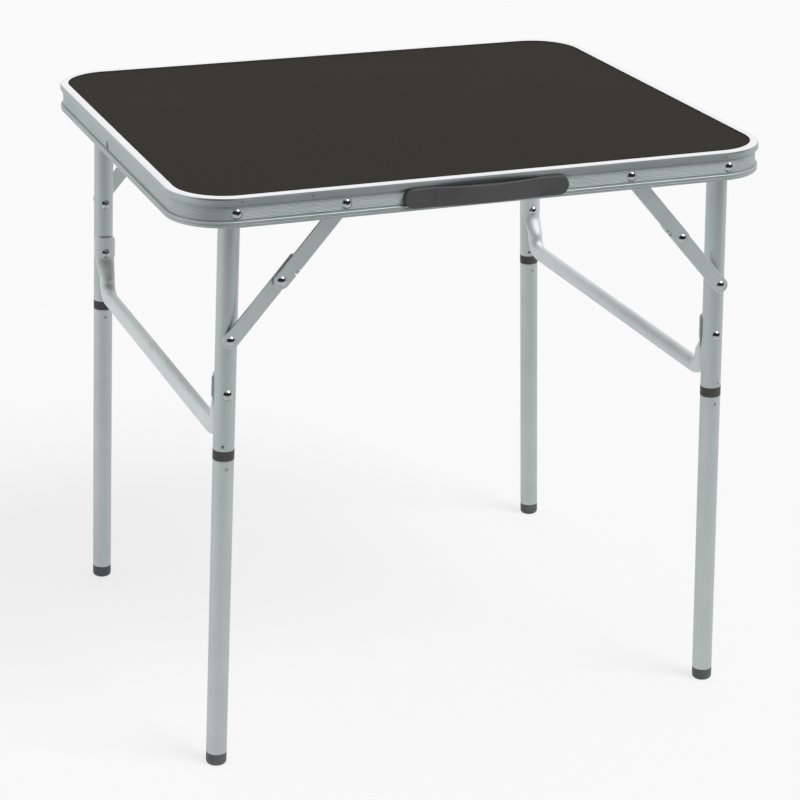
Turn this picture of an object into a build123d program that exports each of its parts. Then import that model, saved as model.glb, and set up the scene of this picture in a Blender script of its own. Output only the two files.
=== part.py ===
from build123d import *
import math
import os

os.makedirs("parts", exist_ok=True)

# Driving dimensions in millimetres.
# X runs along the long side, the front rail with the carry handle faces -Y,
# and Z = 0 is the floor under the middle of the tabletop.
TABLE_LENGTH = 590.0
TABLE_DEPTH = 500.0
TABLE_HEIGHT = 573.0
CORNER_RADIUS = 56.0

# Edge rim, one extrusion bent round four corners.
RIM_HEIGHT = 27.4
RIM_LIP_WIDTH = 8.2
RIM_LIP_THICKNESS = 1.2
RIM_ROUND = 2.0
RIM_EDGE = 0.5
RIM_BEAD_HEIGHT = 6.7
RIM_WEB_RECESS = 2.5
RIM_WALL = 1.6
RIM_FLANGE_HEIGHT = 5.6
RIM_LEDGE_THICKNESS = 1.3
RIM_LEDGE_SETBACK = 0.3
REED_PITCH = 1.25
REED_DEPTH = 0.25
REED_WIDTH = 0.64
REED_MARGIN = 0.8
GROOVE_WIDTH = 0.8
GROOVE_DEPTH = 0.45
RIM_SEAM = 0.3
END_HOLE_DIAMETER = 8.0
END_HOLE_DROP = 17.4
END_HOLE_Y = 18.0
STAKES_FROM_LEFT = (56.0, 121.0, 532.0)
STAKE_DROP = 4.2
STAKE_RADIUS = 1.1

# Laminated board held in the rim's slot.
PANEL_THICKNESS = 2.85
PANEL_EDGE_PLAY = 0.3

# Joiner plate behind the rim's seam, with its rivets.
JOINER_LENGTH = 70.0
JOINER_HEIGHT = 14.0
JOINER_THICKNESS = 1.5
JOINER_RIVET_X = (-26.0, -10.0, 10.0, 26.0)
JOINER_SHANK = 4.0
JOINER_HEAD_DIAMETER = 7.0
JOINER_HEAD_HEIGHT = 1.6
JOINER_TAIL_DIAMETER = 6.0
JOINER_TAIL_HEIGHT = 1.0

# Pivots on the rim web.
PIVOT_DROP = 15.4
LEG_PIVOT_INSET = 51.6
STRUT_RUN = 102.4
PIVOT_SEAT = 1.2
LEG_BUSH_DIAMETER = 12.0
STRUT_BUSH_DIAMETER = 11.0

# Legs, two pairs, splayed outward along X.
LEG_DIAMETER = 20.0
LEG_WALL = 1.2
LEG_INSET = 27.0
LEG_SPLAY = 2.1
UPPER_LEG_LENGTH = 230.8
COLLAR_HEIGHT = 9.4
COLLAR_STEP = 0.2
SOCKET_PLUG_LENGTH = 26.0
SOCKET_SPARE = 2.0
STUD_FLANGE = 0.95
STUD_DIAMETER = 12.0
STUD_LENGTH = 26.0
STUD_TIP_CHAMFER = 1.0
STUD_PLUG_LENGTH = 22.0
FOOT_HEIGHT = 13.0
FOOT_PLUG_LENGTH = 18.0
FOOT_EDGE_ROUND = 3.5
SOLE_TRIM = 0.45
CRIMP_RADIUS = 1.45
SOCKET_CRIMP_RISE = 5.0
SOCKET_CRIMP_TURN = 22.0
STUD_CRIMP_DROP = 7.0

# Crossbar joining the two legs of a pair.
CROSSBAR_DIAMETER = 16.0
CROSSBAR_WALL = 1.2
CROSSBAR_RIVET_DROP = 175.6
CROSSBAR_SAG = 45.0
CROSSBAR_BEND = 17.0
SADDLE_RISE = 17.5
SADDLE_TOE = 5.2
SADDLE_THICKNESS = 2.8
SADDLE_HALF_ANGLE = 62.0
SADDLE_CORNER = 5.0
SADDLE_TUCK = 2.0
BLEND_STEPS = 14
RING_POINTS = 24

# Folding struts, two flat links each.
STRUT_WIDTH = 15.0
STRUT_THICKNESS = 2.0
STRUT_LEG_DISTANCE = 121.9
STRUT_TAIL = 26.0
STRUT_TAIL_CORNER = 2.5
STRUT_EDGE = 0.3
UPPER_LINK_DEPTH = 7.4
LOWER_LINK_DEPTH = 12.0
STOP_NOTCH_LENGTH = 6.0
STOP_NOTCH_DEPTH = 2.2
STOP_NOTCH_AT = 15.2
STOP_TAB_LENGTH = 4.2
STOP_TAB_SHIFT = 0.3
STOP_TAB_CLEARANCE = 0.1

# Rivets.
RIVET_HEAD_DIAMETER = 9.5
RIVET_HEAD_HEIGHT = 2.2
RIVET_SHANK = 5.0
PIVOT_SHANK = 6.0
STRUT_TAIL_HEAD_DIAMETER = 9.0
STRUT_TAIL_HEAD_HEIGHT = 1.4
KNEE_TAIL_HEAD_DIAMETER = 8.0
KNEE_TAIL_HEAD_HEIGHT = 1.0
KNEE_WASHER_DIAMETER = 12.0
RUNNING_CLEARANCE = 0.05

# Carry handle.
HANDLE_X = -6.9
HANDLE_LENGTH = 162.0
HANDLE_CAP_LENGTH = 29.0
HANDLE_HEIGHT = 18.7
HANDLE_DROP = 15.3
HANDLE_PROUD = 4.0
CAP_EDGE_ROUND = 1.8
STRAP_BOW = 4.5
STRAP_WAIST = 0.7
STRAP_GAP = 0.15
STRAP_STANDOFF = 0.2
STRAP_THINNING = 0.6
STRAP_EDGE_ROUND = 1.2
TONGUE_LENGTH = 14.0
TONGUE_THICKNESS = 2.2
TONGUE_HEIGHT = 12.0
TONGUE_CLEARANCE = 0.1
SCREW_DIAMETER = 3.5
SCREW_INSET = 9.0
SCREW_BITE = 2.0
SCREW_HEAD_DIAMETER = 7.0
SCREW_HEAD_HEIGHT = 1.2

# The handle stands proud of the front rail, so everything is moved back by half of
# that, which puts the origin under the middle of the whole outline.
FRAME_SHIFT = (HANDLE_PROUD + STRAP_BOW) / 2

# Sizes that follow from the driving dimensions.
HALF_L = TABLE_LENGTH / 2
HALF_D = TABLE_DEPTH / 2
LEG_PIVOT_X = HALF_L - LEG_PIVOT_INSET
STRUT_PIVOT_X = LEG_PIVOT_X - STRUT_RUN
PIVOT_Z = TABLE_HEIGHT - PIVOT_DROP
HANDLE_Z = TABLE_HEIGHT - HANDLE_DROP
LEG_R = LEG_DIAMETER / 2
LEG_Y = -HALF_D + LEG_INSET
LEG_FRONT = LEG_Y - LEG_R
LEG_BACK = LEG_Y + LEG_R
BORE_R = LEG_R - LEG_WALL
HEAD_R = RIVET_HEAD_DIAMETER / 2
SHANK_R = RIVET_SHANK / 2
WEB_IN = RIM_WEB_RECESS + RIM_WALL
SLOT_TOP = RIM_LIP_THICKNESS
SLOT_BOTTOM = RIM_LIP_THICKNESS + PANEL_THICKNESS
LEDGE_BOTTOM = SLOT_BOTTOM + RIM_LEDGE_THICKNESS
SPLAY = math.radians(LEG_SPLAY)


def front(depth):
    """Y of a layer that lies the given depth behind the rim's outer face."""
    return -HALF_D + depth


def along_y(radius, y_from, y_to, x=0.0, z=0.0):
    """Round bar along Y between two Y values."""
    length = y_to - y_from
    bar = Cylinder(radius, length, rotation=(90, 0, 0))
    return Pos(x, (y_from + y_to) / 2, z) * bar


def dome(diameter, height):
    """Domed rivet head on the XY plane, rising along +Z."""
    r = diameter / 2
    ball = (r * r + height * height) / (2 * height)
    cap = Pos(0, 0, height - ball) * Sphere(ball)
    keep = Pos(0, 0, height / 2) * Cylinder(ball, height)
    return cap & keep


def front_dome(x, y, z, diameter=RIVET_HEAD_DIAMETER, height=RIVET_HEAD_HEIGHT):
    """Rivet head whose flat side lies at y and whose dome points to -Y."""
    return Pos(x, y, z) * Rot(90, 0, 0) * dome(diameter, height)


def back_dome(x, y, z, diameter=RIVET_HEAD_DIAMETER, height=RIVET_HEAD_HEIGHT):
    """Rivet head whose flat side lies at y and whose dome points to +Y."""
    return Pos(x, y, z) * Rot(-90, 0, 0) * dome(diameter, height)


def to_rear(shape):
    return mirror(shape, about=Plane.XZ)


def to_right(shape):
    return mirror(shape, about=Plane.YZ)


def four(shape):
    """A front left shape with its copies at the other three corners."""
    return [shape, to_rear(shape), to_right(shape), to_right(to_rear(shape))]


def save(name, *shapes):
    solids = []
    for shape in shapes:
        solids.extend(shape.solids())
    if len(solids) == 1:
        out = solids[0]
    else:
        out = Compound(children=solids)
    out = Pos(0, FRAME_SHIFT, 0) * out
    out.label = name
    export_step(out, "parts/" + name + ".step")


def save_corners(stem, shape):
    """One node for each corner of the table."""
    corners = ("_front_left", "_rear_left", "_front_right", "_rear_right")
    for corner, copy in zip(corners, four(shape)):
        save(stem + corner, copy)


# Rim: section as distance behind the outer face and height below the top.
web_top = -RIM_BEAD_HEIGHT
web_bottom = -RIM_HEIGHT + RIM_FLANGE_HEIGHT
shoulder = RIM_ROUND * (1 - math.sqrt(0.5))
rim_points = [(RIM_LIP_WIDTH, 0.0), (RIM_ROUND, 0.0), (shoulder, -shoulder), (0.0, -RIM_ROUND)]
rim_points += [(0.0, web_top + RIM_EDGE), (RIM_EDGE, web_top), (RIM_WEB_RECESS, web_top)]
reed_count = int((web_top - web_bottom - 2 * REED_MARGIN) / REED_PITCH)
reed_start = (web_top + web_bottom) / 2 + REED_PITCH * (reed_count - 1) / 2
for i in range(reed_count):
    reed_z = reed_start - i * REED_PITCH
    rim_points.append((RIM_WEB_RECESS, reed_z + REED_WIDTH / 2))
    rim_points.append((RIM_WEB_RECESS + REED_DEPTH, reed_z))
    rim_points.append((RIM_WEB_RECESS, reed_z - REED_WIDTH / 2))
rim_points += [(RIM_WEB_RECESS, web_bottom), (RIM_EDGE, web_bottom), (0.0, web_bottom - RIM_EDGE)]
groove_z = (web_bottom - RIM_HEIGHT) / 2
rim_points += [(0.0, groove_z + GROOVE_WIDTH / 2), (GROOVE_DEPTH, groove_z), (0.0, groove_z - GROOVE_WIDTH / 2)]
rim_points += [(0.0, -RIM_HEIGHT + RIM_EDGE), (RIM_EDGE, -RIM_HEIGHT), (WEB_IN, -RIM_HEIGHT)]
ledge_reach = RIM_LIP_WIDTH - RIM_LEDGE_SETBACK
rim_points += [(WEB_IN, -LEDGE_BOTTOM), (ledge_reach, -LEDGE_BOTTOM), (ledge_reach, -SLOT_BOTTOM)]
rim_points += [(RIM_WALL, -SLOT_BOTTOM), (RIM_WALL, -SLOT_TOP), (RIM_LIP_WIDTH, -SLOT_TOP)]

seam = RIM_SEAM / 2
bend_x = HALF_L - CORNER_RADIUS
bend_y = HALF_D - CORNER_RADIUS


def rim_face(x, y, out_x, out_y):
    """Rim section standing at a point of the outer outline, with its outward direction."""
    points = [Vector(x - out_x * d, y - out_y * d, TABLE_HEIGHT + z) for d, z in rim_points]
    return make_face(Polyline(*points, close=True))


rim_plain = extrude(rim_face(seam, HALF_D, 0, 1), bend_x - seam, dir=(1, 0, 0))
rim_plain += extrude(rim_face(-seam, HALF_D, 0, 1), bend_x - seam, dir=(-1, 0, 0))
rim_plain += extrude(rim_face(-bend_x, -HALF_D, 0, -1), 2 * bend_x, dir=(1, 0, 0))
for sx in (-1, 1):
    rim_plain += extrude(rim_face(sx * HALF_L, -bend_y, sx, 0), 2 * bend_y, dir=(0, 1, 0))
    for sy in (-1, 1):
        corner_axis = Axis((sx * bend_x, sy * bend_y, 0), (0, 0, -sx * sy))
        rim_plain += revolve(rim_face(sx * bend_x, sy * HALF_D, 0, sy), corner_axis, 90)

screw_x = (HANDLE_X - HANDLE_LENGTH / 2 + SCREW_INSET, HANDLE_X + HANDLE_LENGTH / 2 - SCREW_INSET)
rim_holes = []
for sx in (-1, 1):
    leg_hole = along_y(PIVOT_SHANK / 2, front(0), front(WEB_IN + PIVOT_SEAT), sx * LEG_PIVOT_X, PIVOT_Z)
    strut_hole = along_y(SHANK_R, front(0), front(WEB_IN), sx * STRUT_PIVOT_X, PIVOT_Z)
    rim_holes += [leg_hole, strut_hole, to_rear(leg_hole), to_rear(strut_hole)]
    end_hole = Cylinder(END_HOLE_DIAMETER / 2, 2 * WEB_IN, rotation=(0, 90, 0))
    rim_holes.append(Pos(sx * HALF_L, END_HOLE_Y, TABLE_HEIGHT - END_HOLE_DROP) * end_hole)
for x in screw_x:
    rim_holes.append(along_y(SCREW_DIAMETER / 2, front(RIM_WEB_RECESS), front(WEB_IN), x, HANDLE_Z))
for x in JOINER_RIVET_X:
    rim_holes.append(to_rear(along_y(JOINER_SHANK / 2, front(0), front(WEB_IN), x, PIVOT_Z)))
for x in STAKES_FROM_LEFT:
    rim_holes.append(Pos(x - HALF_L, front(0), TABLE_HEIGHT - STAKE_DROP) * Sphere(STAKE_RADIUS))
rim = rim_plain - rim_holes
save("rim_extrusion", rim)

# Board: dark laminated sheet whose edge sits in the rim's slot.
edge = RIM_WALL + PANEL_EDGE_PLAY
board_outline = RectangleRounded(TABLE_LENGTH - 2 * edge, TABLE_DEPTH - 2 * edge, CORNER_RADIUS - edge)
save("tabletop_panel", Pos(0, 0, TABLE_HEIGHT - SLOT_BOTTOM) * extrude(board_outline, PANEL_THICKNESS))

# Joiner: flat plate behind the rim's butt seam at the middle of the rear rail, drawn at the front.
joiner_back = WEB_IN + JOINER_THICKNESS
joiner = Box(JOINER_LENGTH, JOINER_THICKNESS, JOINER_HEIGHT)
joiner = Pos(0, front((WEB_IN + joiner_back) / 2), PIVOT_Z) * joiner
joiner_rivets = []
for x in JOINER_RIVET_X:
    shank = along_y(JOINER_SHANK / 2, front(RIM_WEB_RECESS), front(joiner_back), x, PIVOT_Z)
    joiner -= shank
    outer = front_dome(x, front(RIM_WEB_RECESS), PIVOT_Z, JOINER_HEAD_DIAMETER, JOINER_HEAD_HEIGHT)
    inner = back_dome(x, front(joiner_back), PIVOT_Z, JOINER_TAIL_DIAMETER, JOINER_TAIL_HEIGHT)
    joiner_rivets.append(to_rear(shank + outer + inner))
save("rim_joiner", to_rear(joiner))
save("rim_joiner_rivets", *joiner_rivets)

# Handle caps: two moulded blocks with round outer ends, seated over bead and web.
cap_r = HANDLE_HEIGHT / 2
seam_left = HANDLE_X - HANDLE_LENGTH / 2 + HANDLE_CAP_LENGTH
seam_right = HANDLE_X + HANDLE_LENGTH / 2 - HANDLE_CAP_LENGTH
tongue_y = front(-TONGUE_THICKNESS / 2)


def handle_cap(x_seam, side):
    straight = HANDLE_CAP_LENGTH - cap_r
    outline = Pos(-straight / 2, 0) * Rectangle(straight, HANDLE_HEIGHT)
    outline += Pos(-straight, 0) * Circle(cap_r)
    block = extrude(outline, HANDLE_PROUD + RIM_WEB_RECESS)
    face_edges = block.faces().sort_by(Axis.Z)[-1].edges().sort_by(Axis.X)
    block = fillet(face_edges[:-1], CAP_EDGE_ROUND)
    block = Rot(90, 0, 0) * block
    if side > 0:
        block = to_right(block)
    block = Pos(x_seam, front(RIM_WEB_RECESS), HANDLE_Z) * block
    block = block - rim_plain
    slot_length = TONGUE_LENGTH + 2 * TONGUE_CLEARANCE
    slot_size = (slot_length, TONGUE_THICKNESS + 2 * TONGUE_CLEARANCE, TONGUE_HEIGHT + 2 * TONGUE_CLEARANCE)
    block = block - Pos(x_seam + side * slot_length / 2, tongue_y, HANDLE_Z) * Box(*slot_size)
    screw = screw_x[0] if side < 0 else screw_x[1]
    return block - along_y(SCREW_DIAMETER / 2, front(-SCREW_BITE), front(WEB_IN), screw, HANDLE_Z)


save("handle_cap_left", handle_cap(seam_left, -1))
save("handle_cap_right", handle_cap(seam_right, 1))

# Handle strap: slightly waisted band bowed outward between the caps, with a tongue in each.
x_l = seam_left + STRAP_GAP
x_r = seam_right - STRAP_GAP
y_out = front(-HANDLE_PROUD)
y_in = front(-STRAP_STANDOFF)
plan = make_face([
    ThreePointArc((x_l, y_out), (HANDLE_X, y_out - STRAP_BOW), (x_r, y_out)),
    Line((x_r, y_out), (x_r, y_in)),
    ThreePointArc((x_r, y_in), (HANDLE_X, y_in - STRAP_BOW + STRAP_THINNING), (x_l, y_in)),
    Line((x_l, y_in), (x_l, y_out)),
])
strap = Pos(0, 0, HANDLE_Z - cap_r) * extrude(plan, HANDLE_HEIGHT)
waist = make_face([
    ThreePointArc((x_l, cap_r), (HANDLE_X, cap_r - STRAP_WAIST), (x_r, cap_r)),
    Line((x_r, cap_r), (x_r, -cap_r)),
    ThreePointArc((x_r, -cap_r), (HANDLE_X, -cap_r + STRAP_WAIST), (x_l, -cap_r)),
    Line((x_l, -cap_r), (x_l, cap_r)),
])
waist_reach = HANDLE_PROUD + 2 * STRAP_BOW
strap = strap & (Pos(0, front(0), HANDLE_Z) * Rot(90, 0, 0) * extrude(waist, waist_reach))
long_edges = [e for e in strap.edges() if e.length > (x_r - x_l) / 2]
strap = fillet(long_edges, STRAP_EDGE_ROUND)
tongue_inner = TONGUE_THICKNESS
for x_end, side in ((x_l, -1), (x_r, 1)):
    tongue = Box(TONGUE_LENGTH + tongue_inner, TONGUE_THICKNESS, TONGUE_HEIGHT)
    strap += Pos(x_end + side * (TONGUE_LENGTH - tongue_inner) / 2, tongue_y, HANDLE_Z) * tongue
save("handle_strap", strap)

handle_screws = []
for x in screw_x:
    screw = along_y(SCREW_DIAMETER / 2, front(-SCREW_BITE), front(WEB_IN), x, HANDLE_Z)
    screw += along_y(SCREW_HEAD_DIAMETER / 2, front(WEB_IN), front(WEB_IN + SCREW_HEAD_HEIGHT), x, HANDLE_Z)
    handle_screws.append(screw)
save("handle_screws", *handle_screws)

# Leg pivots: long rivets through the rim web, a spacer bush and the leg. Head and bush are
# shaped to the start of the rim's bend.
head_back = front(RIM_WEB_RECESS + PIVOT_SEAT)
pivot_rivet = along_y(HEAD_R, front(RIM_WEB_RECESS), head_back, -LEG_PIVOT_X, PIVOT_Z) - rim_plain
pivot_rivet += front_dome(-LEG_PIVOT_X, front(RIM_WEB_RECESS), PIVOT_Z)
tail_y = LEG_BACK + RUNNING_CLEARANCE
pivot_rivet += along_y(PIVOT_SHANK / 2, front(RIM_WEB_RECESS), tail_y, -LEG_PIVOT_X, PIVOT_Z)
pivot_rivet += back_dome(-LEG_PIVOT_X, tail_y, PIVOT_Z)
pivot_bush = along_y(LEG_BUSH_DIAMETER / 2, front(WEB_IN), LEG_FRONT - RUNNING_CLEARANCE, -LEG_PIVOT_X, PIVOT_Z)
pivot_bush -= along_y(PIVOT_SHANK / 2, front(0), LEG_FRONT, -LEG_PIVOT_X, PIVOT_Z)
pivot_bush = pivot_bush - rim_plain
save("leg_pivot_rivets", *four(pivot_rivet))
save("leg_pivot_bushes", *four(pivot_bush))

# Strut pivots on the rim: rivet and spacer bush.
strut_tail = front(UPPER_LINK_DEPTH + STRUT_THICKNESS + RUNNING_CLEARANCE)
strut_rivet = front_dome(-STRUT_PIVOT_X, front(RIM_WEB_RECESS), PIVOT_Z)
strut_rivet += along_y(SHANK_R, front(RIM_WEB_RECESS), strut_tail, -STRUT_PIVOT_X, PIVOT_Z)
strut_rivet += back_dome(-STRUT_PIVOT_X, strut_tail, PIVOT_Z, STRUT_TAIL_HEAD_DIAMETER, STRUT_TAIL_HEAD_HEIGHT)
bush_end = front(UPPER_LINK_DEPTH - RUNNING_CLEARANCE)
strut_bush = along_y(STRUT_BUSH_DIAMETER / 2, front(WEB_IN), bush_end, -STRUT_PIVOT_X, PIVOT_Z)
strut_bush -= along_y(SHANK_R, front(0), bush_end, -STRUT_PIVOT_X, PIVOT_Z)
save("strut_rim_rivets", *four(strut_rivet))
save("strut_rim_bushes", *four(strut_bush))


def place_leg(shape):
    """From the leg's own frame, pivot at the origin, to the front left leg."""
    return Pos(-LEG_PIVOT_X, 0, PIVOT_Z) * Rot(0, LEG_SPLAY, 0) * shape


def tube(z_low, z_high, outer, inner):
    length = z_high - z_low
    body = Cylinder(outer, length) - Cylinder(inner, length)
    return Pos(0, LEG_Y, (z_low + z_high) / 2) * body


def bar(z_low, z_high, radius):
    return Pos(0, LEG_Y, (z_low + z_high) / 2) * Cylinder(radius, z_high - z_low)


def crimp(z, angle):
    """Punched pits on both sides of a leg, angle measured from the front toward -X."""
    a = math.radians(angle)
    ball = Sphere(CRIMP_RADIUS)
    near = Pos(-LEG_R * math.sin(a), LEG_Y - LEG_R * math.cos(a), z) * ball
    far = Pos(LEG_R * math.sin(a), LEG_Y + LEG_R * math.cos(a), z) * ball
    return near + far


def across_leg(radius, drop):
    """Round bar right through a leg at a distance below its pivot."""
    return along_y(radius, LEG_FRONT - LEG_R, LEG_BACK + LEG_R, 0, -drop)


def head_seat(drop, radius, y):
    """Skirt that fills a rivet head down to the round of a tube of the given radius."""
    skirt = along_y(HEAD_R, min(y, LEG_Y), max(y, LEG_Y), 0, -drop)
    return skirt - Pos(0, LEG_Y, -drop) * Cylinder(radius, 2 * RIVET_HEAD_DIAMETER)


# Upper leg tubes, with the top end rounded about the pivot.
socket_crimp = crimp(-UPPER_LEG_LENGTH + SOCKET_CRIMP_RISE, SOCKET_CRIMP_TURN)
leg_blank = tube(-UPPER_LEG_LENGTH, LEG_R, LEG_R, BORE_R)
leg_keep = bar(-UPPER_LEG_LENGTH, 0, LEG_DIAMETER) + across_leg(LEG_R, 0)
upper_leg = leg_blank & leg_keep
upper_leg -= across_leg(PIVOT_SHANK / 2 + RUNNING_CLEARANCE, 0)
upper_leg -= across_leg(SHANK_R, STRUT_LEG_DISTANCE)
upper_leg -= across_leg(SHANK_R, CROSSBAR_RIVET_DROP)
upper_leg -= socket_crimp
save_corners("upper_leg", place_leg(upper_leg))

# Socket collars: moulded plug in the upper leg with a visible ring below it.
ring_low = -UPPER_LEG_LENGTH - COLLAR_HEIGHT
socket = bar(ring_low, -UPPER_LEG_LENGTH, LEG_R + COLLAR_STEP)
socket += bar(-UPPER_LEG_LENGTH, -UPPER_LEG_LENGTH + SOCKET_PLUG_LENGTH, BORE_R)
socket -= bar(ring_low, ring_low + STUD_LENGTH + SOCKET_SPARE, STUD_DIAMETER / 2 + RUNNING_CLEARANCE)
socket -= socket_crimp
save_corners("socket_collar", place_leg(socket))

# Lower legs: stud that goes into the socket, tube, and rounded foot with a level sole.
stud_base = ring_low - RUNNING_CLEARANCE
tube_top = stud_base - STUD_FLANGE
stud_crimp = crimp(tube_top - STUD_CRIMP_DROP, 0.0)
stud_pin = bar(stud_base, stud_base + STUD_LENGTH, STUD_DIAMETER / 2)
stud_pin = chamfer(stud_pin.edges().sort_by(Axis.Z)[-1], STUD_TIP_CHAMFER)
stud = stud_pin + bar(tube_top, stud_base, LEG_R)
stud += bar(tube_top - STUD_PLUG_LENGTH, tube_top, BORE_R)
save_corners("leg_stud", place_leg(stud - stud_crimp))

floor_reach = PIVOT_Z / math.cos(SPLAY) + SOLE_TRIM
foot_top = -(floor_reach - FOOT_HEIGHT)
lower_tube = tube(foot_top, tube_top, LEG_R, BORE_R) - stud_crimp
save_corners("lower_leg", place_leg(lower_tube))

foot_shell = bar(-floor_reach, foot_top, LEG_R)
foot_shell = fillet(foot_shell.edges().sort_by(Axis.Z)[0], FOOT_EDGE_ROUND)
foot = place_leg(foot_shell + bar(foot_top, foot_top + FOOT_PLUG_LENGTH, BORE_R))
below_floor = Box(TABLE_LENGTH, TABLE_DEPTH, FOOT_HEIGHT)
save_corners("foot", foot - Pos(-LEG_PIVOT_X, LEG_Y, -FOOT_HEIGHT / 2) * below_floor)

# Crossbar: round tube bent to a wide U, its ends pressed to saddles on the legs.
bar_r = CROSSBAR_DIAMETER / 2
saddle_r = LEG_R + SADDLE_THICKNESS
saddle_y = LEG_Y + saddle_r
saddle_top = -CROSSBAR_RIVET_DROP + SADDLE_RISE
saddle_low = -CROSSBAR_RIVET_DROP - SADDLE_TOE
run_z = -CROSSBAR_RIVET_DROP - CROSSBAR_SAG
bar_y = LEG_BACK + bar_r
round_z = run_z + CROSSBAR_BEND


def ring_face(z, mix):
    """Section of the crossbar's end, from the pressed band to the round tube."""
    mid = LEG_R + SADDLE_THICKNESS / 2
    half_t = SADDLE_THICKNESS / 2 - RUNNING_CLEARANCE
    span = math.radians(SADDLE_HALF_ANGLE - SADDLE_TUCK)
    points = []
    for i in range(RING_POINTS):
        t = 2 * math.pi * i / RING_POINTS
        bend = span * math.sin(t)
        r = mid + half_t * math.copysign(abs(math.cos(t)) ** 0.45, math.cos(t))
        ax = -r * math.sin(bend)
        ay = LEG_Y + r * math.cos(bend)
        bx = -bar_r * math.sin(t)
        by = bar_y + bar_r * math.cos(t)
        points.append(Vector(ax + (bx - ax) * mix, ay + (by - ay) * mix, z))
    return make_face(Spline(*points, periodic=True))


saddle_tall = saddle_top - saddle_low
half_band = saddle_r * math.sin(math.radians(SADDLE_HALF_ANGLE))
band = tube(saddle_low, saddle_top, saddle_r, LEG_R)
window = RectangleRounded(2 * half_band, 2 * saddle_tall, SADDLE_CORNER)
band_reach = LEG_DIAMETER - LEG_R * math.cos(math.radians(SADDLE_HALF_ANGLE))
band = band & (Pos(0, LEG_Y + LEG_DIAMETER, saddle_low) * Rot(90, 0, 0) * extrude(window, band_reach))
band -= across_leg(SHANK_R, CROSSBAR_RIVET_DROP)
blend_rings = []
for i in range(BLEND_STEPS + 1):
    share = i / BLEND_STEPS
    blend_rings.append(ring_face(saddle_low + (round_z - saddle_low) * share, share ** 2 * (3 - 2 * share)))
blend = loft(blend_rings, ruled=True)

bend_s = CROSSBAR_BEND * math.sqrt(0.5)
bend_y_end = bar_y + CROSSBAR_BEND
bar_path = Wire([
    ThreePointArc((0, bar_y, round_z), (0, bend_y_end - bend_s, round_z - bend_s), (0, bend_y_end, run_z)),
    Line((0, bend_y_end, run_z), (0, -bend_y_end, run_z)),
    ThreePointArc((0, -bend_y_end, run_z), (0, bend_s - bend_y_end, round_z - bend_s), (0, -bar_y, round_z)),
])
bar_face = Pos(0, bar_y, round_z) * Rot(0, 0, 90) * (Circle(bar_r) - Circle(bar_r - CROSSBAR_WALL))
bar_tube = sweep(bar_face, path=bar_path)
crossbar = [place_leg(x) for x in (bar_tube, band, blend, to_rear(band), to_rear(blend))]
save("crossbar_left", *crossbar)
save("crossbar_right", *[to_right(x) for x in crossbar])

# Crossbar rivets, domed on both ends and seated on the round of the leg.
bar_rivet = along_y(SHANK_R, LEG_FRONT, saddle_y, 0, -CROSSBAR_RIVET_DROP)
bar_rivet += front_dome(0, LEG_FRONT, -CROSSBAR_RIVET_DROP)
bar_rivet += head_seat(CROSSBAR_RIVET_DROP, LEG_R, LEG_FRONT)
bar_rivet += back_dome(0, saddle_y, -CROSSBAR_RIVET_DROP)
bar_rivet += head_seat(CROSSBAR_RIVET_DROP, saddle_r, saddle_y)
bar_rivet = place_leg(bar_rivet)
save("crossbar_rivets_left", bar_rivet, to_rear(bar_rivet))
save("crossbar_rivets_right", to_right(bar_rivet), to_right(to_rear(bar_rivet)))

# Strut rivets on the legs: spacer bush outside, shank through the leg, domed inner end.
lower_back = LOWER_LINK_DEPTH + STRUT_THICKNESS
stay_y = front(lower_back + RUNNING_CLEARANCE)
stay_rivet = along_y(SHANK_R, stay_y, LEG_BACK, 0, -STRUT_LEG_DISTANCE)
stay_rivet += back_dome(0, LEG_BACK, -STRUT_LEG_DISTANCE)
stay_rivet += head_seat(STRUT_LEG_DISTANCE, LEG_R, LEG_BACK)
stay_bush = along_y(STRUT_BUSH_DIAMETER / 2, stay_y, LEG_Y, 0, -STRUT_LEG_DISTANCE)
stay_bush -= bar(-STRUT_LEG_DISTANCE - LEG_DIAMETER, -STRUT_LEG_DISTANCE + LEG_DIAMETER, LEG_R)
stay_rivet = place_leg(stay_rivet + stay_bush)
save("strut_leg_rivets_left", stay_rivet, to_rear(stay_rivet))
save("strut_leg_rivets_right", to_right(stay_rivet), to_right(to_rear(stay_rivet)))

# Strut layout: straight line from the rim pivot to the leg pivot point, knee between.
strut_low_x = -LEG_PIVOT_X - STRUT_LEG_DISTANCE * math.sin(SPLAY)
strut_low_z = PIVOT_Z - STRUT_LEG_DISTANCE * math.cos(SPLAY)
span_x = -STRUT_PIVOT_X - strut_low_x
span_z = PIVOT_Z - strut_low_z
strut_span = math.hypot(span_x, span_z)
strut_angle = math.degrees(math.atan2(span_z, span_x))
upper_length = (strut_span + STRUT_LEG_DISTANCE - STRUT_RUN) / 2
lower_length = strut_span - upper_length
knee_x = strut_low_x + span_x * lower_length / strut_span
knee_z = strut_low_z + span_z * lower_length / strut_span
half_w = STRUT_WIDTH / 2


def place_strut(shape):
    """From the strut's own frame, knee at the origin and rim pivot along +X."""
    return Pos(knee_x, 0, knee_z) * Rot(0, -strut_angle, 0) * shape


def plate(outline, depth):
    """Flat link from an outline in the strut's own frame, front face at the given depth."""
    sheet = Rot(90, 0, 0) * extrude(outline, STRUT_THICKNESS)
    sheet = Pos(0, front(depth + STRUT_THICKNESS), 0) * sheet
    return chamfer(sheet.faces().sort_by(Axis.Y)[0].outer_wire().edges(), STRUT_EDGE)


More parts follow.
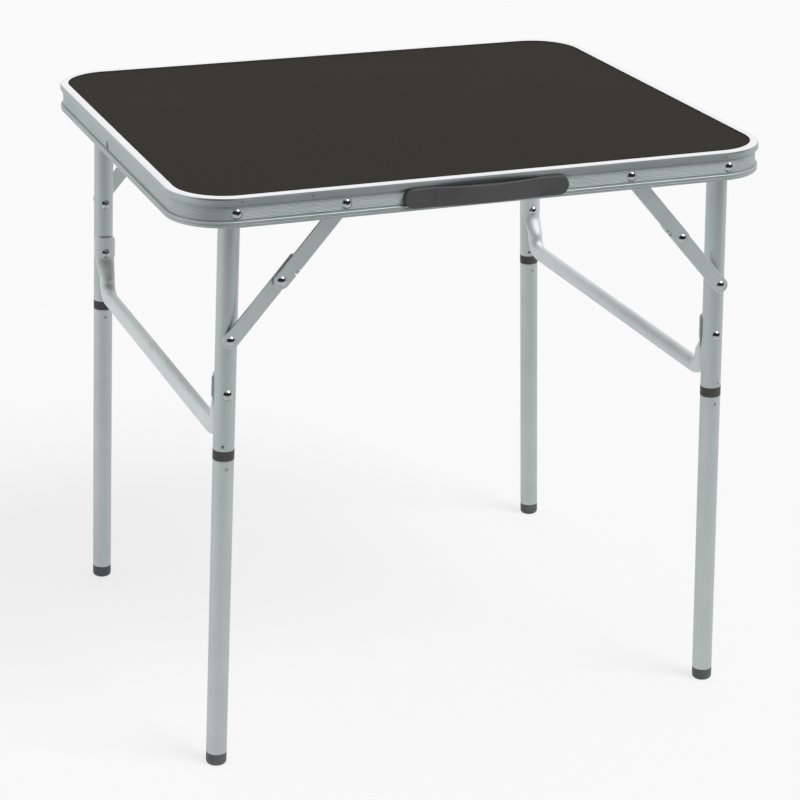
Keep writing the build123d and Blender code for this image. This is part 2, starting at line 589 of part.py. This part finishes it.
# Upper link with the stop notch in its lower edge.
notch_z = -half_w + STOP_NOTCH_DEPTH / 2
upper_outline = Pos(upper_length / 2, 0) * SlotCenterToCenter(upper_length, STRUT_WIDTH)
upper_outline -= Circle(SHANK_R)
upper_outline -= Pos(upper_length, 0) * Circle(SHANK_R + RUNNING_CLEARANCE)
upper_outline -= Pos(STOP_NOTCH_AT, notch_z) * Rectangle(STOP_NOTCH_LENGTH, STOP_NOTCH_DEPTH)
save_corners("strut_upper", place_strut(plate(upper_outline, UPPER_LINK_DEPTH)))

# Lower link with a tail past the knee and a bent tab that meets the notch.
lower_outline = Pos(-lower_length, 0) * Circle(half_w)
lower_outline += Pos((STRUT_TAIL - lower_length) / 2, 0) * Rectangle(STRUT_TAIL + lower_length, STRUT_WIDTH)
lower_outline = fillet(lower_outline.vertices().sort_by(Axis.X)[-2:], STRUT_TAIL_CORNER)
lower_outline -= Circle(SHANK_R + RUNNING_CLEARANCE)
lower_outline -= Pos(-lower_length, 0) * Circle(SHANK_R)
lower_link = plate(lower_outline, LOWER_LINK_DEPTH)
tab_tall = STOP_NOTCH_DEPTH - STOP_TAB_CLEARANCE
tab_deep = lower_back - UPPER_LINK_DEPTH
tab = Box(STOP_TAB_LENGTH, tab_deep, tab_tall)
tab_y = front(lower_back - tab_deep / 2)
lower_link += Pos(STOP_NOTCH_AT + STOP_TAB_SHIFT, tab_y, -half_w + tab_tall / 2) * tab
save_corners("strut_lower", place_strut(lower_link))

# Knee rivet with its washer, and the rivet head at the lower end.
washer_end = front(LOWER_LINK_DEPTH - RUNNING_CLEARANCE)
knee_rivet = front_dome(0, front(UPPER_LINK_DEPTH), 0)
knee_rivet += along_y(SHANK_R, front(UPPER_LINK_DEPTH), stay_y)
knee_rivet += back_dome(0, stay_y, 0, KNEE_TAIL_HEAD_DIAMETER, KNEE_TAIL_HEAD_HEIGHT)
knee_rivet += along_y(KNEE_WASHER_DIAMETER / 2, front(UPPER_LINK_DEPTH + STRUT_THICKNESS), washer_end)
save_corners("strut_knee", place_strut(knee_rivet))
end_rivet = front_dome(-lower_length, front(LOWER_LINK_DEPTH), 0)
end_rivet += along_y(SHANK_R, front(LOWER_LINK_DEPTH), front(lower_back), -lower_length, 0)
save_corners("strut_end", place_strut(end_rivet))

print("strut span", round(strut_span, 4), "angle", round(strut_angle, 4))
print("upper link", round(upper_length, 4), "lower link", round(lower_length, 4))
print("knee", round(knee_x, 4), round(knee_z, 4), "low end", round(strut_low_x, 4), round(strut_low_z, 4))
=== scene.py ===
import math

import bmesh
import bpy
from mathutils import Matrix, Vector


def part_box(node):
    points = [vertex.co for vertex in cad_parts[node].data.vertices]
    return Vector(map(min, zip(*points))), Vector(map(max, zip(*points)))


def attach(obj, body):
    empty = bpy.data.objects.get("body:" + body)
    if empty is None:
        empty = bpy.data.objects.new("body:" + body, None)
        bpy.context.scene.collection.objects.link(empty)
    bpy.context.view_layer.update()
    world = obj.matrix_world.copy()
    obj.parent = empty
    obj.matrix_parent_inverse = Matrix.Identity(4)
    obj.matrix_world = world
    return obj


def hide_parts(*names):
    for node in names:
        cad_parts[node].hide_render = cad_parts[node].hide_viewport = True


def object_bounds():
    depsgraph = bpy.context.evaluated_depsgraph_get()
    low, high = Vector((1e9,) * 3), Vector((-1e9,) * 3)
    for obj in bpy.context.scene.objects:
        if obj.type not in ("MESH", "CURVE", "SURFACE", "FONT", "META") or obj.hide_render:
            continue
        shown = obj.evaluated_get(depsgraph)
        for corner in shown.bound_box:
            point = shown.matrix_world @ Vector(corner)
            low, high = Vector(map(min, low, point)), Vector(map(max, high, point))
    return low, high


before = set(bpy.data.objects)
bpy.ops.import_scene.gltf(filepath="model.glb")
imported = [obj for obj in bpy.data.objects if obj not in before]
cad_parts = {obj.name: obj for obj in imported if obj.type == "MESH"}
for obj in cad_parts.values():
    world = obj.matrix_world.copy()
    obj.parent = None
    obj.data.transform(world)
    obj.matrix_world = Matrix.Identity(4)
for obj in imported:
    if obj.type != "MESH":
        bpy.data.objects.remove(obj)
cad_low, cad_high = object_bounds()


# Rim
# One aluminium extrusion, satin anodised, bent round four corners and butted at the rear.
# Its top lip is tinted near white as a painted highlight of the overhead light glancing off it; the bead
# under it is smooth, and the web is finely reeded.
RIM_TOP = cad_high.z
BEAD_HEIGHT = 0.0067
BEAD_EDGE = 0.0004
LIP_HIGHLIGHT_STARTS = 0.0012
LIP_HIGHLIGHT_FULL = 0.0004
LIP_HIGHLIGHT_FACING = (0.7, 0.95)
WEB_ROUGHNESS = (0.50, 0.62)
BEAD_POLISH = 0.16
RIM_WEAR = 0.35


def paint(red, green, blue):
    """A colour as it looks on the piece, in steps of 255, as shader values."""
    steps = [value / 255 for value in (red, green, blue)]
    return [s / 12.92 if s < 0.04045 else ((s + 0.055) / 1.055) ** 2.4 for s in steps] + [1.0]


WEB_TONES = (paint(172, 182, 181), paint(194, 203, 202))
BEAD_TONES = (paint(160, 171, 170), paint(176, 186, 185))
# The lip's near-white tones are a painted highlight: the overhead light glancing off the rim's top face.
LIP_HIGHLIGHT_TONES = (paint(236, 236, 239), paint(246, 246, 248))
RIM_GRIME = paint(96, 104, 102)


def put(tree, kind, inputs=None, **settings):
    """Adds a node, makes its settings, and sets or links its inputs."""
    node = tree.nodes.new(kind)
    for name, value in settings.items():
        setattr(node, name, value)
    for name, value in (inputs or {}).items():
        if isinstance(value, bpy.types.NodeSocket):
            tree.links.new(value, node.inputs[name])
        else:
            node.inputs[name].default_value = value
    return node


def work(tree, operation, *values):
    """One step of arithmetic on sockets or numbers."""
    return put(tree, "ShaderNodeMath", dict(enumerate(values)), operation=operation).outputs[0]


def weigh(tree, first, second, share):
    """A mean of two values, with the first one's share."""
    return work(tree, "ADD", work(tree, "MULTIPLY", first, share), work(tree, "MULTIPLY", second, 1 - share))


def spread(tree, value, low, high, to_low=0.0, to_high=1.0):
    """Maps a value from one span to another, held at both ends."""
    inputs = {"Value": value, "From Min": low, "From Max": high, "To Min": to_low, "To Max": to_high}
    return put(tree, "ShaderNodeMapRange", inputs).outputs["Result"]


def contrast(tree, noise, reach, to_low=0.0, to_high=1.0):
    """Noise lies close round a half, and is opened here to a whole span."""
    return spread(tree, noise, 0.5 - reach, 0.5 + reach, to_low, to_high)


def tint(tree, share, first, second):
    """A mix of two colours."""
    return put(tree, "ShaderNodeMix", {0: share, 6: first, 7: second}, data_type="RGBA").outputs[2]


def part_of(tree, vector, axis):
    """One coordinate of a vector."""
    return put(tree, "ShaderNodeSeparateXYZ", {0: vector}).outputs[axis]


def group(name, inputs, outputs):
    """An empty shader node group with named sockets."""
    tree = bpy.data.node_groups.new(name, "ShaderNodeTree")
    for label, kind, value in inputs:
        socket = tree.interface.new_socket(label, in_out="INPUT", socket_type=kind)
        socket.default_value = value
    for label in outputs:
        tree.interface.new_socket(label, in_out="OUTPUT", socket_type="NodeSocketFloat")
    return tree, tree.nodes.new("NodeGroupInput").outputs, tree.nodes.new("NodeGroupOutput").inputs


def grouped(tree, made, **inputs):
    """Places a node group in a material."""
    named = {name.replace("_", " "): value for name, value in inputs.items()}
    node = put(tree, "ShaderNodeGroup", node_tree=made)
    for name, value in named.items():
        if isinstance(value, bpy.types.NodeSocket):
            tree.links.new(value, node.inputs[name])
        else:
            node.inputs[name].default_value = value
    return node.outputs


def finish_for(name):
    """A new material, with its tree, its shader and the place on the piece."""
    material = bpy.data.materials.new(name)
    material.use_nodes = True
    tree = material.node_tree
    place = tree.nodes.new("ShaderNodeTexCoord").outputs
    return material, tree, tree.nodes["Principled BSDF"], place


def relief(tree, shader, height, strength, depth):
    """Fine relief on the surface."""
    bump = put(tree, "ShaderNodeBump", {"Height": height, "Strength": strength, "Distance": depth})
    tree.links.new(bump.outputs[0], shader.inputs["Normal"])


def dress(material, *names):
    """Gives CAD pieces their finish."""
    for name in names:
        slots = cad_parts[name].data.materials
        slots.clear()
        slots.append(material)


drawn_grain, given, result = group(
    "drawn_grain",
    [("Vector", "NodeSocketVector", (0, 0, 0)), ("Stretch", "NodeSocketVector", (1000, 1000, 10)),
     ("Cloud Size", "NodeSocketFloat", 30.0)],
    ["Lines", "Cloud"])
pulled = put(drawn_grain, "ShaderNodeVectorMath", {0: given["Vector"], 1: given["Stretch"]},
             operation="MULTIPLY")
lines = put(drawn_grain, "ShaderNodeTexNoise",
            {"Vector": pulled.outputs[0], "Scale": 1.0, "Detail": 3.0, "Roughness": 0.6})
cloud = put(drawn_grain, "ShaderNodeTexNoise",
            {"Vector": given["Vector"], "Scale": given["Cloud Size"], "Detail": 2.0})
drawn_grain.links.new(lines.outputs[0], result["Lines"])
drawn_grain.links.new(cloud.outputs[0], result["Cloud"])

SPECKS_PER_PATCH = 9.0
PATCH_EDGE = 0.12
SPECK_CORE = 0.12
SPECK_REACH = 0.34
handling_marks, given, result = group(
    "handling_marks",
    [("Vector", "NodeSocketVector", (0, 0, 0)), ("Size", "NodeSocketFloat", 60.0),
     ("Rarity", "NodeSocketFloat", 0.6)],
    ["Marks"])
patch = put(handling_marks, "ShaderNodeTexNoise",
            {"Vector": given["Vector"], "Scale": given["Size"], "Detail": 6.0, "Roughness": 0.7,
             "Distortion": 0.6})
speck_size = work(handling_marks, "MULTIPLY", given["Size"], SPECKS_PER_PATCH)
speck = put(handling_marks, "ShaderNodeTexVoronoi", {"Vector": given["Vector"], "Scale": speck_size})
above = work(handling_marks, "SUBTRACT", patch.outputs[0], given["Rarity"])
rare = spread(handling_marks, above, 0.0, PATCH_EDGE)
near = spread(handling_marks, speck.outputs[0], SPECK_CORE, SPECK_REACH, 1.0, 0.0)
handling_marks.links.new(work(handling_marks, "MULTIPLY", rare, near), result["Marks"])

rim_satin, tree, shader, place = finish_for("rim_satin")
height = part_of(tree, place["Object"], "Z")
facing = part_of(tree, place["Normal"], "Z")
grain = grouped(tree, drawn_grain, Vector=place["Object"], Stretch=(3.0, 3.0, 1600.0), Cloud_Size=22.0)
marks = grouped(tree, handling_marks, Vector=place["Object"], Size=70.0, Rarity=0.62)["Marks"]
on_bead = spread(tree, height, RIM_TOP - BEAD_HEIGHT - BEAD_EDGE, RIM_TOP - BEAD_HEIGHT)
# The band on the rim's top-facing strip gets the near-white tint, which is a painted highlight.
on_lip_highlight = work(tree, "MULTIPLY", spread(tree, height, RIM_TOP - LIP_HIGHLIGHT_STARTS, RIM_TOP - LIP_HIGHLIGHT_FULL),
              spread(tree, facing, *LIP_HIGHLIGHT_FACING))
tone = weigh(tree, grain["Lines"], grain["Cloud"], 0.55)
web = tint(tree, contrast(tree, tone, 0.2), *WEB_TONES)
bead = tint(tree, grain["Cloud"], *BEAD_TONES)
lip_highlight = tint(tree, grain["Cloud"], *LIP_HIGHLIGHT_TONES)
skin = tint(tree, on_lip_highlight, tint(tree, on_bead, web, bead), lip_highlight)
worn = tint(tree, work(tree, "MULTIPLY", marks, RIM_WEAR), skin, RIM_GRIME)
tree.links.new(worn, shader.inputs["Base Color"])
rough = work(tree, "SUBTRACT", contrast(tree, tone, 0.3, *WEB_ROUGHNESS),
             work(tree, "MULTIPLY", on_bead, BEAD_POLISH))
tree.links.new(rough, shader.inputs["Roughness"])
relief(tree, shader, grain["Lines"], strength=0.10, depth=0.0001)
shader.inputs["Metallic"].default_value = 1.0
dress(rim_satin, "rim_extrusion", "rim_joiner")


# Tabletop panel
# A thin fibre board with a dark laminate pressed on its upper face, slid into the rim's slot.
# The laminate has a faint pebble; the underside is bare pale board.
PEBBLES_PER_METRE = 750.0
SPECKLES_PER_METRE = 420.0
FIBRES_PER_METRE = 260.0
HAZE_PER_METRE = 7.0
LAMINATE_TONES = (paint(46, 44, 37), paint(54, 52, 45))
BOARD_TONES = (paint(160, 156, 150), paint(184, 180, 174))
LAMINATE_ROUGHNESS = (0.72, 0.82)
LAMINATE_SPECULAR = 0.04
laminate, tree, shader, place = finish_for("dark_laminate")
facing = part_of(tree, place["Normal"], "Z")
pebble = put(tree, "ShaderNodeTexVoronoi",
             {"Vector": place["Object"], "Scale": PEBBLES_PER_METRE, "Smoothness": 0.6}, feature="SMOOTH_F1")
speckle = put(tree, "ShaderNodeTexNoise",
              {"Vector": place["Object"], "Scale": SPECKLES_PER_METRE, "Detail": 3.0})
fibre = put(tree, "ShaderNodeTexNoise",
            {"Vector": place["Object"], "Scale": FIBRES_PER_METRE, "Detail": 6.0, "Roughness": 0.75,
             "Distortion": 1.2})
haze = put(tree, "ShaderNodeTexNoise", {"Vector": place["Object"], "Scale": HAZE_PER_METRE, "Detail": 3.0})
top_tone = weigh(tree, speckle.outputs[0], haze.outputs[0], 0.6)
top = tint(tree, contrast(tree, top_tone, 0.15), *LAMINATE_TONES)
board = tint(tree, contrast(tree, fibre.outputs[0], 0.2), *BOARD_TONES)
is_under = spread(tree, facing, -0.6, -0.4, 1.0, 0.0)
tree.links.new(tint(tree, is_under, top, board), shader.inputs["Base Color"])
tree.links.new(contrast(tree, haze.outputs[0], 0.2, *LAMINATE_ROUGHNESS), shader.inputs["Roughness"])
relief(tree, shader, pebble.outputs[0], strength=0.12, depth=0.0002)
shader.inputs["Specular IOR Level"].default_value = LAMINATE_SPECULAR
dress(laminate, "tabletop_panel")


# Carry handle
# Two moulded caps screwed to the front rail and a flexible strap that runs into both of them.
# Dark grey plastic with a fine spark-eroded grain, rubbed a little shinier where a hand takes it.
BROAD_SHARE = 0.03
moulded_grain, given, result = group(
    "moulded_grain",
    [("Vector", "NodeSocketVector", (0, 0, 0)), ("Size", "NodeSocketFloat", 1500.0)],
    ["Height", "Tone"])
coarse = put(moulded_grain, "ShaderNodeTexNoise",
             {"Vector": given["Vector"], "Scale": given["Size"], "Detail": 3.0, "Roughness": 0.65})
broad_size = work(moulded_grain, "MULTIPLY", given["Size"], BROAD_SHARE)
broad = put(moulded_grain, "ShaderNodeTexNoise",
            {"Vector": given["Vector"], "Scale": broad_size, "Detail": 3.0})
mixed = weigh(moulded_grain, coarse.outputs[0], broad.outputs[0], 0.45)
moulded_grain.links.new(coarse.outputs[0], result["Height"])
moulded_grain.links.new(contrast(moulded_grain, mixed, 0.18), result["Tone"])


def plastic(name, tones, roughness, grain_size, gloss):
    """A moulded plastic between two tones."""
    material, tree, shader, place = finish_for(name)
    grain = grouped(tree, moulded_grain, Vector=place["Object"], Size=grain_size)
    tree.links.new(tint(tree, grain["Tone"], *tones), shader.inputs["Base Color"])
    tree.links.new(spread(tree, grain["Tone"], 0.0, 1.0, *roughness), shader.inputs["Roughness"])
    relief(tree, shader, grain["Height"], strength=0.18, depth=0.00015)
    shader.inputs["Specular IOR Level"].default_value = gloss
    return material


cap_plastic = plastic("handle_cap_plastic", tones=(paint(60, 60, 61), paint(74, 74, 74)),
                      roughness=(0.42, 0.56), grain_size=1700.0, gloss=0.35)
strap_plastic = plastic("handle_strap_plastic", tones=(paint(62, 62, 62), paint(78, 78, 78)),
                        roughness=(0.36, 0.52), grain_size=1300.0, gloss=0.35)
dress(cap_plastic, "handle_cap_left", "handle_cap_right")
dress(strap_plastic, "handle_strap")


# Rivets and screws
# Domed steel rivets, polished and plated, that hold the legs, struts, crossbars and rim joiner.
# The turned heads keep faint lines and a few fine scratches.
SIDES = ("left", "right")
QUARTERS = ("front_left", "rear_left", "front_right", "rear_right")
PLATE_TONES = (paint(164, 166, 168), paint(186, 187, 189))
PLATE_ROUGHNESS = (0.07, 0.17)
rivet_polish, tree, shader, place = finish_for("rivet_polish")
scratch = grouped(tree, drawn_grain, Vector=place["Object"], Stretch=(2600.0, 300.0, 900.0),
                  Cloud_Size=160.0)
plate = tint(tree, contrast(tree, scratch["Cloud"], 0.2), *PLATE_TONES)
tree.links.new(plate, shader.inputs["Base Color"])
tree.links.new(spread(tree, scratch["Lines"], 0.3, 0.75, *PLATE_ROUGHNESS), shader.inputs["Roughness"])
relief(tree, shader, scratch["Lines"], strength=0.05, depth=0.00005)
shader.inputs["Metallic"].default_value = 1.0
dress(rivet_polish, "leg_pivot_rivets", "strut_rim_rivets", "rim_joiner_rivets", "handle_screws")
for side in SIDES:
    dress(rivet_polish, "crossbar_rivets_" + side, "strut_leg_rivets_" + side)
for quarter in QUARTERS:
    dress(rivet_polish, "strut_knee_" + quarter, "strut_end_" + quarter)


# Bushes
# Short turned plastic spacers, one on each rivet that goes through the rim.
# They keep legs and struts clear of the rim's inner wall.
bush_plastic = plastic("bush_plastic", tones=(paint(52, 52, 54), paint(66, 66, 68)),
                       roughness=(0.45, 0.6), grain_size=1500.0, gloss=0.4)
dress(bush_plastic, "leg_pivot_bushes", "strut_rim_bushes")


# Upper legs
# Drawn aluminium tubes, satin anodised in a cool grey, hung on rivets inside the rim.
# Drawing leaves faint lines that run down the splayed tube.
LEG_SPLAY = math.radians(2.1)
LEG_WEAR = 0.3
LEG_GRIME = paint(98, 106, 104)


def down_the(tree, place, lean):
    """The place on a piece of either side, turned so that its length runs along Z."""
    across = part_of(tree, place["Object"], "X")
    mirrored = {"X": work(tree, "ABSOLUTE", across), "Y": part_of(tree, place["Object"], "Y"),
                "Z": part_of(tree, place["Object"], "Z")}
    folded = put(tree, "ShaderNodeCombineXYZ", mirrored)
    turned = put(tree, "ShaderNodeVectorRotate", {"Vector": folded.outputs[0], "Angle": lean},
                 rotation_type="Y_AXIS")
    return turned.outputs[0]


def drawn_aluminium(name, lean, stretch, tones, roughness):
    """Drawn or rolled aluminium with a satin skin."""
    material, tree, shader, place = finish_for(name)
    along = down_the(tree, place, lean)
    grain = grouped(tree, drawn_grain, Vector=along, Stretch=stretch, Cloud_Size=26.0)
    marks = grouped(tree, handling_marks, Vector=along, Size=85.0, Rarity=0.63)["Marks"]
    tone = weigh(tree, grain["Lines"], grain["Cloud"], 0.5)
    skin = tint(tree, contrast(tree, tone, 0.18), *tones)
    worn = tint(tree, work(tree, "MULTIPLY", marks, LEG_WEAR), skin, LEG_GRIME)
    tree.links.new(worn, shader.inputs["Base Color"])
    tree.links.new(contrast(tree, tone, 0.2, *roughness), shader.inputs["Roughness"])
    relief(tree, shader, grain["Lines"], strength=0.08, depth=0.0001)
    shader.inputs["Metallic"].default_value = 1.0
    return material


upper_tube = drawn_aluminium("upper_leg_satin", LEG_SPLAY, stretch=(1500.0, 1500.0, 9.0),
                             tones=(paint(172, 182, 182), paint(190, 199, 199)), roughness=(0.34, 0.44))
for side in SIDES:
    dress(upper_tube, "upper_leg_front_" + side, "upper_leg_rear_" + side)


# Socket collars
# Black plastic plugs pressed into the upper legs and staked there, with a ring that shows.
# The lower legs screw into them.
collar_plastic = plastic("collar_plastic", tones=(paint(58, 57, 57), paint(72, 71, 71)),
                         roughness=(0.42, 0.55), grain_size=1500.0, gloss=0.35)
for side in SIDES:
    dress(collar_plastic, "socket_collar_front_" + side, "socket_collar_rear_" + side)


# Crossbars
# Lighter and duller aluminium tubes, bent up at both ends.
# Their ends are pressed to saddles that sit round the legs and are riveted through.
bar_satin = drawn_aluminium("crossbar_satin", LEG_SPLAY, stretch=(1300.0, 7.0, 1300.0),
                            tones=(paint(214, 221, 221), paint(230, 235, 235)), roughness=(0.62, 0.70))
dress(bar_satin, "crossbar_left", "crossbar_right")


# Folding struts
# Two flat links of rolled aluminium bar for each leg, sheared to round ends and riveted.
# A tab at the knee stops the strut when it is straight.
STRUT_LEAN = math.radians(41.2594)
strut_satin = drawn_aluminium("strut_satin", STRUT_LEAN, stretch=(700.0, 700.0, 30.0),
                              tones=(paint(190, 201, 200), paint(208, 217, 216)), roughness=(0.36, 0.48))
for quarter in QUARTERS:
    dress(strut_satin, "strut_upper_" + quarter, "strut_lower_" + quarter)


# Lower legs
# Drawn tubes like the upper ones, in a slightly brighter tone that paints the light the floor throws up on
# them.
# They screw off for storage.
# The brighter tones are painted light: the lower legs stand by the bright floor, while the upper legs sit in
# the shade of the top.
lower_tube_floor_lit = drawn_aluminium("lower_leg_satin_floor_lit", LEG_SPLAY, stretch=(1500.0, 1500.0, 7.0),
                             tones=(paint(178, 187, 187), paint(196, 204, 204)), roughness=(0.36, 0.46))
for quarter in QUARTERS:
    dress(lower_tube_floor_lit, "lower_leg_" + quarter)


# Screw studs
# Plated steel plugs pressed into the lower legs, with a coarse thread that goes into the socket.
# The thread is a ridge that winds up the pin and dies out in the chamfer at its end.
PIVOT_X = 0.2434
PIVOT_Z = 0.5576
STUD_BASE = -0.24025
STUD_LENGTH = 0.026
STUD_RADIUS = 0.006
STUD_CHAMFER = 0.0012
FLANGE = 0.00095
FLANGE_RADIUS = 0.00995
FLANGE_EDGE = 0.0002
PLUG_LENGTH = 0.022
PLUG_RADIUS = 0.0087
THREAD_PITCH = 0.002
THREAD_DEPTH = 0.0008
THREAD_START = 0.002
THREAD_RUN_OUT = 0.003
FLANK_SLOPE = 1.6
ROOT_FLAT = 0.25
ROWS = 130
STEPS = 40
SHARP_FROM = math.radians(35)


def stud_radius(z, turn):
    """Radius of the threaded pin at a height over the flange."""
    phase = (z / THREAD_PITCH - turn) % 1.0
    ridge = 1.0 - abs(2.0 * phase - 1.0)
    ridge = min(1.0, max(0.0, FLANK_SLOPE * ridge - ROOT_FLAT))
    run_out = min(1.0, (STUD_LENGTH - z) / THREAD_RUN_OUT)
    start = min(1.0, z / THREAD_START)
    root = STUD_RADIUS - THREAD_DEPTH
    chamfer = max(0.0, STUD_CHAMFER - (STUD_LENGTH - z))
    return root + THREAD_DEPTH * ridge * run_out * start - chamfer


def stud_mesh(name):
    """Plug, flange and threaded pin as one closed turned piece, standing along Z at the origin."""
    turned = [(PLUG_RADIUS, -FLANGE - PLUG_LENGTH), (PLUG_RADIUS, -FLANGE),
              (FLANGE_RADIUS - FLANGE_EDGE, -FLANGE), (FLANGE_RADIUS, FLANGE_EDGE - FLANGE),
              (FLANGE_RADIUS, -FLANGE_EDGE), (FLANGE_RADIUS - FLANGE_EDGE, 0.0)]
    rings = [[point] * STEPS for point in turned]
    for row in range(ROWS + 1):
        z = STUD_LENGTH * row / ROWS
        rings.append([(stud_radius(z, step / STEPS), z) for step in range(STEPS)])
    shape = bmesh.new()
    loops = []
    for ring in rings:
        loop = []
        for step, (radius, z) in enumerate(ring):
            angle = 2 * math.pi * step / STEPS
            loop.append(shape.verts.new((radius * math.cos(angle), radius * math.sin(angle), z)))
        loops.append(loop)
    for low, high in zip(loops, loops[1:]):
        for step in range(STEPS):
            after = (step + 1) % STEPS
            shape.faces.new((low[step], low[after], high[after], high[step]))
    shape.faces.new(list(reversed(loops[0])))
    shape.faces.new(loops[-1])
    for face in shape.faces:
        face.smooth = True
    mesh = bpy.data.meshes.new(name)
    shape.to_mesh(mesh)
    shape.free()
    mesh.set_sharp_from_angle(angle=SHARP_FROM)
    return mesh


def leg_y(end):
    """Where the legs of the front or the rear stand, from the CAD tubes."""
    low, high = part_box("lower_leg_" + end + "_left")
    return (low.y + high.y) / 2


stud_zinc = rivet_polish.copy()
stud_zinc.name = "stud_zinc"
for quarter in QUARTERS:
    end, side = quarter.split("_")
    stud = bpy.data.objects.new("threaded_stud_" + quarter, stud_mesh("threaded_stud_" + quarter))
    bpy.context.scene.collection.objects.link(stud)
    sign = -1 if side == "left" else 1
    pivot = Matrix.Translation((sign * PIVOT_X, leg_y(end), PIVOT_Z))
    splay = Matrix.Rotation(-sign * LEG_SPLAY, 4, "Y")
    stud.data.transform(pivot @ splay @ Matrix.Translation((0, 0, STUD_BASE)))
    stud.data.materials.append(stud_zinc)
    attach(stud, "lower_leg_" + quarter)
    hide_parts("leg_stud_" + quarter)


# Feet
# Slate grey plastic caps moulded with a level sole.
# They are pushed over the ends of the lower legs.
foot_plastic = plastic("foot_plastic", tones=(paint(70, 76, 76), paint(88, 94, 94)),
                       roughness=(0.42, 0.58), grain_size=1200.0, gloss=0.45)
for quarter in QUARTERS:
    dress(foot_plastic, "foot_" + quarter)


# Stage
# A pale floor, a soft overhead lamp, and a white surround that metal reflects.
# The room behind the camera is dark, which polished heads show as a dark middle.
FLOOR_REACH = 30.0
FLOOR_TONE = (0.9, 0.9, 0.9, 1.0)
FLOOR_GLOW_SHARE = 0.72
SHEET_ENDS = (-2.5, -1.7)
PAST_SHEET_GLOW = 0.06
PAST_SHEET_SHARE = 0.95
WHITE = (1.0, 1.0, 1.0, 1.0)
SKY_LIGHT = 0.55
SKY_SEEN = 1.0
ROOM_AHEAD = (-0.45, -0.15)
ROOM_TOP = (0.70, 0.84)
ROOM_GLOW = 0.04
LAMP_ENERGY = 1.5
LAMP_ANGLE = math.radians(30)
LAMP_DIRECTION = Vector((-0.45, 0.50, -0.85))


def stage_rays(tree):
    """The kinds of ray, and a mask of those that show the stage as the eye sees it."""
    ray = tree.nodes.new("ShaderNodeLightPath").outputs
    seen = work(tree, "MAXIMUM", ray["Is Camera Ray"], ray["Is Glossy Ray"])
    return ray, work(tree, "MAXIMUM", seen, ray["Is Transmission Ray"])


floor_mesh = bpy.data.meshes.new("floor")
floor_shape = bmesh.new()
corners = [(-1, -1), (1, -1), (1, 1), (-1, 1)]
floor_shape.faces.new([floor_shape.verts.new((FLOOR_REACH * x, FLOOR_REACH * y, 0.0)) for x, y in corners])
floor_shape.to_mesh(floor_mesh)
floor_shape.free()
floor = bpy.data.objects.new("floor", floor_mesh)
bpy.context.scene.collection.objects.link(floor)
pale = bpy.data.materials.new("pale_floor")
pale.use_nodes = True
tree = pale.node_tree
tree.nodes.clear()
ray, seen = stage_rays(tree)
depth = part_of(tree, tree.nodes.new("ShaderNodeNewGeometry").outputs["Position"], "Y")
past_sheet = work(tree, "MULTIPLY", spread(tree, depth, *SHEET_ENDS, 1.0, 0.0), ray["Is Glossy Ray"])
glow = spread(tree, past_sheet, 0.0, 1.0, 1.0, PAST_SHEET_GLOW)
share = work(tree, "MULTIPLY", seen, spread(tree, past_sheet, 0.0, 1.0, FLOOR_GLOW_SHARE, PAST_SHEET_SHARE))
lit = put(tree, "ShaderNodeBsdfDiffuse", {"Color": FLOOR_TONE})
white = put(tree, "ShaderNodeEmission", {"Color": WHITE, "Strength": glow})
both = put(tree, "ShaderNodeMixShader", {0: share, 1: lit.outputs[0], 2: white.outputs[0]})
put(tree, "ShaderNodeOutputMaterial", {"Surface": both.outputs[0]})
floor.data.materials.append(pale)

world = bpy.data.worlds.new("studio")
world.use_nodes = True
tree = world.node_tree
tree.nodes.clear()
ray, seen = stage_rays(tree)
look = tree.nodes.new("ShaderNodeTexCoord").outputs["Generated"]
ahead = spread(tree, part_of(tree, look, "Y"), *ROOM_AHEAD, 1.0, 0.0)
under_lamp = spread(tree, part_of(tree, look, "Z"), *ROOM_TOP, 1.0, 0.0)
dark_room = work(tree, "MULTIPLY", work(tree, "MULTIPLY", ahead, under_lamp), ray["Is Glossy Ray"])
strength = work(tree, "MULTIPLY", spread(tree, seen, 0.0, 1.0, SKY_LIGHT, SKY_SEEN),
                spread(tree, dark_room, 0.0, 1.0, 1.0, ROOM_GLOW))
sky = put(tree, "ShaderNodeBackground", {"Color": WHITE, "Strength": strength})
put(tree, "ShaderNodeOutputWorld", {"Surface": sky.outputs[0]})
bpy.context.scene.world = world

key_data = bpy.data.lights.new("key", "SUN")
key_data.energy = LAMP_ENERGY
key_data.angle = LAMP_ANGLE
key = bpy.data.objects.new("key", key_data)
key.rotation_euler = LAMP_DIRECTION.to_track_quat("-Z", "Y").to_euler()
bpy.context.scene.collection.objects.link(key)


# Camera
# A long lens at the height and side from which the table is seen, a little tilted.
# Its axes are given as the directions of the picture's right and upper side.
CAMERA_PLACE = (-0.833, -2.161, 1.1678)
PICTURE_RIGHT = Vector((0.93397, -0.35708, 0.0139))
PICTURE_UP = Vector((0.11802, 0.34494, 0.93118))
camera_data = bpy.data.cameras.new("camera")
camera_data.sensor_width = 36.0
camera_data.lens = 106.96
camera = bpy.data.objects.new("camera", camera_data)
back = PICTURE_RIGHT.cross(PICTURE_UP).normalized()
up = back.cross(PICTURE_RIGHT).normalized()
axes = Matrix((PICTURE_RIGHT, up, back)).transposed().to_4x4()
camera.matrix_world = Matrix.Translation(CAMERA_PLACE) @ axes
bpy.context.scene.collection.objects.link(camera)
bpy.context.scene.camera = camera
bpy.context.scene.view_settings.view_transform = "Standard"
